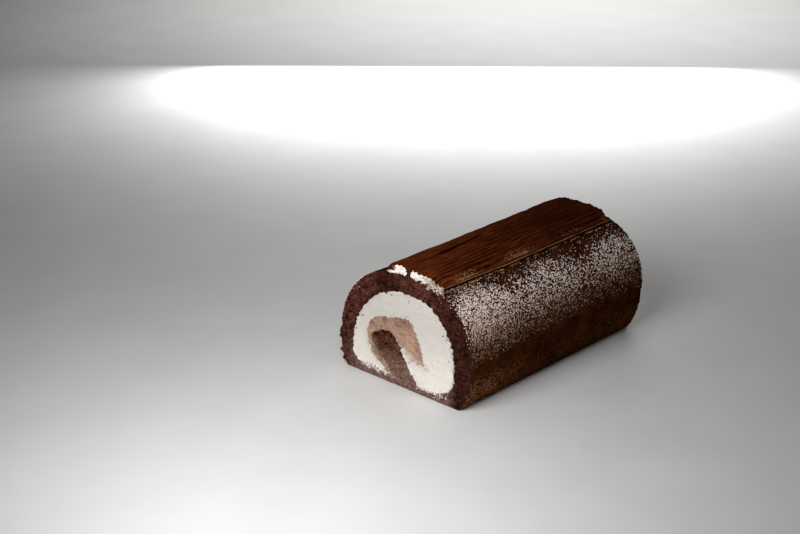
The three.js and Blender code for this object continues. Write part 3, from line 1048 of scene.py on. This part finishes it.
def sponge_finish():
    material, tree, shader, place = new_material("sponge finish", 0.95, 0.0)
    colour, pores = crumb_colour(tree, place)
    # Painted shade towards the right of the cut, with the denser crumb along the filling and the damp patch.
    colour = blend(tree, marked(tree, "dense_and_painted_shade"), colour, PORE_SHADE_AND_DENSE_CRUMB)
    blotch = remap(tree, noise_at(tree, place, 2.5 * MM), 0.35, 0.6, 0.4, 1.0)
    colour = blend(tree, times(tree, marked(tree, "smear"), blotch), colour, CRUMB_SMEARED)
    # Painted shade in the pores.
    colour = blend(tree, times(tree, pores["Pores"], 0.8), colour, PORE_SHADE_AND_DENSE_CRUMB)
    colour = blend(tree, marked(tree, "spike"), colour, TAN)
    spread = use_group(tree, UNEVENNESS, Place=place, Fine=1 / (0.9 * MM), Broad=1 / (9 * MM))["Value"]
    skin = blend(tree, spread, SKIN_DARK, SKIN_LIGHT)
    # Painted shadow of the strip on the skin just below it.
    skin = blend(tree, times(tree, marked(tree, "painted_strip_shadow"), 0.65), skin, SKIN_DARK)
    baked = remap(tree, noise_at(tree, place, 1.5 * MM, 5.0), 0.46, 0.6)
    skin = blend(tree, times(tree, baked, marked(tree, "foot")), skin, SKIN_TAN)
    skin = blend(tree, times(tree, marked(tree, "sugar"), 0.04), skin, SUGAR_DUST)
    amount = times(tree, marked(tree, "sugar"), 0.14)
    dust = use_group(tree, SPECKS, Place=place, Scale=1 / (0.75 * MM), Amount=amount)["Mask"]
    skin = blend(tree, dust, skin, SUGAR_DUST)
    cut = marked(tree, "cut")
    fine = noise_at(tree, place, 0.5 * MM)
    height = add_node(tree, "Mix", {0: cut, 2: fine, 3: pores["Height"]}).outputs[0]
    finish_with(tree, shader, blend(tree, cut, skin, colour), bumped(tree, height, 0.35 * MM))
    return material


sponge_brown = sponge_finish()
print("nodes in the sponge finish:", len(sponge_brown.node_tree.nodes))

# %% [markdown]
# Whipped cream is soft and lets light in a little way, so its shader has a small subsurface weight. Faint
# drag marks run across the cut, and near the mocha the white turns tan.

# %% Cream finishes
CREAM_WHITE = (0.90, 0.85, 0.785, 1)
# A greyer cream, used for the cream's uneven tone, for white run into the mocha and as painted shade at the
# top of the cut.
CREAM_GREY_AND_PAINTED_SHADE = (0.60, 0.565, 0.52, 1)
MOCHA_LIGHT = (0.49, 0.316, 0.222, 1)
MOCHA_DARK = (0.225, 0.132, 0.088, 1)
CREAM_DEPTH = 1.5 * MM
DRAG_STRETCH = (0.18, 1.0, 1.0)
DRAG_TURN = (0, 0.5, 0)
DRAG_RELIEF = 0.35 * MM
TEETH_STRETCH = (1.0, 1.0, 0.4)


def drag_marks(tree, place):
    stretched = add_node(tree, "Mapping", {"Vector": place, "Scale": DRAG_STRETCH, "Rotation": DRAG_TURN})
    return noise_at(tree, stretched.outputs["Vector"], 1.1 * MM, 4.0)


def soften(shader):
    shader.inputs["Subsurface Weight"].default_value = 0.25
    shader.inputs["Subsurface Radius"].default_value = (1.0, 0.8, 0.6)
    shader.inputs["Subsurface Scale"].default_value = CREAM_DEPTH


def cream_finish():
    material, tree, shader, place = new_material("white cream finish", 0.55, 0.3)
    soften(shader)
    drag = drag_marks(tree, place)
    spread = use_group(tree, UNEVENNESS, Place=place, Fine=1 / (2.5 * MM), Broad=1 / (12 * MM))["Value"]
    colour = blend(tree, times(tree, spread, 0.3), CREAM_WHITE, CREAM_GREY_AND_PAINTED_SHADE)
    # Painted shade, greyer towards the top of the cut.
    colour = blend(tree, marked(tree, "painted_top_shade"), colour, CREAM_GREY_AND_PAINTED_SHADE)
    patchy = remap(tree, noise_at(tree, place, 2.5 * MM), 0.35, 0.65, 0.35, 1.0)
    colour = blend(tree, times(tree, marked(tree, "brown"), patchy), colour, TAN)
    speckle = remap(tree, noise_at(tree, place, 0.9 * MM), 0.56, 0.66)
    stain = times(tree, speckle, times(tree, marked(tree, "crumbs"), 0.6))
    colour = blend(tree, stain, colour, TAN)
    upright = add_node(tree, "Mapping", {"Vector": place, "Scale": TEETH_STRETCH}).outputs["Vector"]
    teeth = remap(tree, noise_at(tree, upright, 1.2 * MM), 0.32, 0.68)
    torn = add_node(tree, "Math", {0: marked(tree, "soiled"), 1: teeth}, operation="ADD").outputs[0]
    colour = blend(tree, remap(tree, torn, 1.0, 1.15), colour, CRUMB_SMEARED)
    colour = blend(tree, marked(tree, "spike"), colour, TAN)
    finish_with(tree, shader, colour, bumped(tree, drag, DRAG_RELIEF))
    return material


def mocha_finish():
    material, tree, shader, place = new_material("mocha cream finish", 0.6, 0.3)
    soften(shader)
    drag = drag_marks(tree, place)
    spread = use_group(tree, UNEVENNESS, Place=place, Fine=1 / (1.8 * MM), Broad=1 / (7 * MM))["Value"]
    colour = blend(tree, spread, MOCHA_DARK, MOCHA_LIGHT)
    amount = times(tree, marked(tree, "crumbs"), 0.45)
    specks = use_group(tree, SPECKS, Place=place, Scale=1 / (0.9 * MM), Amount=amount)["Mask"]
    colour = blend(tree, times(tree, specks, 0.7), colour, CRUMB_LIGHT)
    patchy = remap(tree, noise_at(tree, place, 2.5 * MM), 0.35, 0.65, 0.4, 1.0)
    colour = blend(tree, times(tree, marked(tree, "white"), patchy), colour, CREAM_GREY_AND_PAINTED_SHADE)
    finish_with(tree, shader, colour, bumped(tree, drag, DRAG_RELIEF))
    return material


cream_white = cream_finish()
mocha_tan = mocha_finish()
print("cream finishes:", cream_white.name, "and", mocha_tan.name)

# %% [markdown]
# Cocoa powder is the dullest thing on the cake: rust brown where it lies thickest, with shade painted into
# the comb's grooves and the slit, and painted shade darkening it towards the far end.
# At the ends of the strip the white cream shows, and along the right lip a thin tan line of bare cream.

# %% Strip, sugar and crumb finishes
COCOA_DARK = (0.022, 0.0040, 0.0011, 1)
COCOA_LIGHT = (0.150, 0.0325, 0.0095, 1)
LIP_TAN = (0.33, 0.185, 0.075, 1)
SUGAR_WHITE = (0.97, 0.85, 0.79, 1)
SUGAR_WARM = (0.48, 0.25, 0.10, 1)
COMB_STRETCH = (1.0, 0.11, 1.0)


def strip_finish():
    material, tree, shader, place = new_material("cocoa strip finish", 0.95, 0.0)
    stretched = add_node(tree, "Mapping", {"Vector": place, "Scale": COMB_STRETCH}).outputs["Vector"]
    streak = remap(tree, noise_at(tree, stretched, 1.6 * MM), 0.36, 0.64)
    spread = use_group(tree, UNEVENNESS, Place=place, Fine=1 / (0.6 * MM), Broad=1 / (14 * MM))["Value"]
    cocoa_and_shade = times(tree, streak, spread)
    dashes = remap(tree, noise_at(tree, stretched, 1.2 * MM), 0.36, 0.54, 0.3, 0.72)
    # Patches that vary the painted groove shade along the strip.
    groove_shade_patches = remap(tree, noise_at(tree, place, 14 * MM), 0.38, 0.6, 0.55, 1.0)
    # Painted shade in the comb's grooves, in broken dashes.
    groove_shade = times(tree, dashes, groove_shade_patches)
    groove_shade = times(tree, remap(tree, marked(tree, "groove"), 0.35, 0.95), groove_shade)
    cocoa_and_shade = calc(tree, "SUBTRACT", calc(tree, "ADD", cocoa_and_shade, 0.35), groove_shade)
    # Painted shade in the slit.
    cocoa_and_shade = calc(tree, "SUBTRACT", cocoa_and_shade, times(tree, marked(tree, "slit"), 0.9))
    colour = blend(tree, cocoa_and_shade, COCOA_DARK, COCOA_LIGHT)
    # Painted shade towards the far end of the strip.
    colour = blend(tree, times(tree, marked(tree, "far"), 0.4), colour, COCOA_DARK)
    broken = remap(tree, noise_at(tree, stretched, 1.0 * MM), 0.3, 0.48)
    colour = blend(tree, times(tree, marked(tree, "lip"), broken), colour, LIP_TAN)
    ragged = remap(tree, noise_at(tree, place, 1.3 * MM), 0.32, 0.68)
    white = add_node(tree, "Math", {0: marked(tree, "end"), 1: ragged}, operation="ADD").outputs[0]
    colour = blend(tree, remap(tree, white, 1.0, 1.15), colour, CREAM_WHITE)
    finish_with(tree, shader, colour, bumped(tree, noise_at(tree, place, 0.4 * MM), 0.3 * MM))
    return material


def sugar_finish():
    material, tree, shader, place = new_material("icing sugar finish", 0.35, 0.6)
    spread = noise_at(tree, place, 1.2 * MM)
    white = blend(tree, remap(tree, spread, 0.35, 0.65, 0.0, 0.5), SUGAR_WHITE, SUGAR_DUST)
    colour = blend(tree, marked(tree, "warmth"), white, SUGAR_WARM)
    finish_with(tree, shader, colour, bumped(tree, noise_at(tree, place, 0.2 * MM), 0.1 * MM))
    return material


def crumb_finish():
    material, tree, shader, place = new_material("crumb finish", 0.95, 0.0)
    colour, pores = crumb_colour(tree, place)
    finish_with(tree, shader, colour, bumped(tree, pores["Height"], 0.3 * MM))
    return material


cocoa_brown = strip_finish()
sugar_white = sugar_finish()
crumb_brown = crumb_finish()
print("other finishes:", [finish.name for finish in (cocoa_brown, sugar_white, crumb_brown)])

# %% [markdown]
# Each piece gets its finish and rides on the one body of the cake. Each row is a piece, its finish, a slot
# name and the solid it stands for, which is hidden.

# %% Put the finishes on and fix the pieces to the cake
PIECES = (
    (sponge, sponge_brown, "sponge", "sponge"),
    (cream, cream_white, "white_cream", "white_cream"),
    (mocha, mocha_tan, "mocha_cream", "mocha_cream"),
    (strip, cocoa_brown, "cocoa_cream", "combed_strip"),
    (end_cream, cream_white, "white_cream", None),
    (fringe, cream_white, "white_cream", None),
    (sugar, sugar_white, "icing_sugar", None),
    (crumbs, crumb_brown, "sponge", None),
)
for piece, finish, slot, node in PIECES:
    piece.data.materials.clear()
    piece.data.materials.append(finish)
    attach(piece, "root")
    if node:
        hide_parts(node)
print("pieces:", [piece.name for piece, *_ in PIECES])

# %% [markdown]
# The camera stands where the photographer stood: to the right of the cut and a little above the cake, with a
# long lens. A camera in Blender looks down its own -Z, so it is tilted up from straight down and then turned.

# %% Camera
CAMERA_PLACE = (555.6 * MM, -668.9 * MM, 399.6 * MM)
CAMERA_AZIMUTH = 43.5
CAMERA_ELEVATION = 21.8
CAMERA_LENS = 70
SENSOR_WIDTH = 36
bpy.ops.object.camera_add(
    location=CAMERA_PLACE,
    rotation=(math.radians(90 - CAMERA_ELEVATION), 0, math.radians(CAMERA_AZIMUTH)),
)
camera = bpy.context.active_object
camera.data.lens = CAMERA_LENS
camera.data.sensor_width = SENSOR_WIDTH
bpy.context.scene.camera = camera
print("camera's distance in mm:", round(camera.location.length / MM))

# %% [markdown]
# The studio is a pale floor under a dim even sky. The floor is one plane with a faint mottle and grain, so
# that it isn't a single flat colour.

# %% Floor
FLOOR_SIZE = 12.0
FLOOR_PALE = (0.80, 0.795, 0.785, 1)
FLOOR_GREY = (0.76, 0.755, 0.745, 1)
FLOOR_MOTTLE = 50 * MM
FLOOR_GRAIN = 2 * MM
FLOOR_RELIEF = 0.02 * MM
bpy.ops.object.select_all(action="DESELECT")
bpy.ops.mesh.primitive_plane_add(size=FLOOR_SIZE)
floor = bpy.context.active_object
floor.name = "floor"
material, tree, shader, place = new_material("floor finish", 0.8, 0.2)
mottle = remap(tree, noise_at(tree, place, FLOOR_MOTTLE), 0.3, 0.7)
floor_colour = blend(tree, mottle, FLOOR_PALE, FLOOR_GREY)
finish_with(tree, shader, floor_colour, bumped(tree, noise_at(tree, place, FLOOR_GRAIN), FLOOR_RELIEF))
floor.data.materials.append(material)
print("floor size in m:", FLOOR_SIZE)

# %% [markdown]
# Each light is an area light, which throws soft shadows, and is aimed by turning its own -Z towards its
# target. The key stands close, in front of the cake and above it, so the far end is darker, as in the
# photograph. One light brightens the floor far behind, and a low wide one keeps the cake's back clear.

# %% Light and sky
CAKE_MIDDLE = (0, 0, 30 * MM)
SKY_LEVEL = 0.06
SKY_COLOUR = (0.98, 0.99, 1.0, 1)
# Each row is a name, a place, a target, a width and a height in metres, watts and a spread in degrees.
LIGHTS = (
    ("key", (0.08, -0.29, 0.235), CAKE_MIDDLE, 0.22, 0.22, 1.02, 180),
    ("floor behind", (-0.6, 0.8, 1.0), (-0.6, 0.8, 0), 0.7, 0.7, 2.6, 70),
    ("low behind", (-0.46, 0.5, 0.075), CAKE_MIDDLE, 0.5, 0.1, 3.2, 180),
)


def soft_light(name, place, target, width, height, power, spread):
    bpy.ops.object.light_add(type="AREA", location=place)
    light = bpy.context.active_object
    light.name = name
    light.visible_camera = False
    light.data.shape = "RECTANGLE"
    light.data.size = width
    light.data.size_y = height
    light.data.energy = power
    light.data.spread = math.radians(spread)
    aim = Vector(target) - light.location
    light.rotation_euler = aim.to_track_quat("-Z", "Y").to_euler()


for row in LIGHTS:
    soft_light(*row)
world = bpy.data.worlds.new("dim sky")
world.use_nodes = True
tree = world.node_tree
tree.nodes.clear()
sky = add_node(tree, "Background", {"Color": SKY_COLOUR, "Strength": SKY_LEVEL})
add_node(tree, "OutputWorld", {"Surface": sky.outputs["Background"]})
bpy.context.scene.world = world
bpy.context.scene.view_settings.view_transform = "Standard"
print("lights:", [row[0] for row in LIGHTS])

# %% [markdown]
# Last, the number of triangles in each piece is printed.

# %% Triangles of each piece
bpy.context.view_layer.update()
for piece, *_ in PIECES:
    print(piece.name, "triangles:", len(piece.data.loop_triangles))
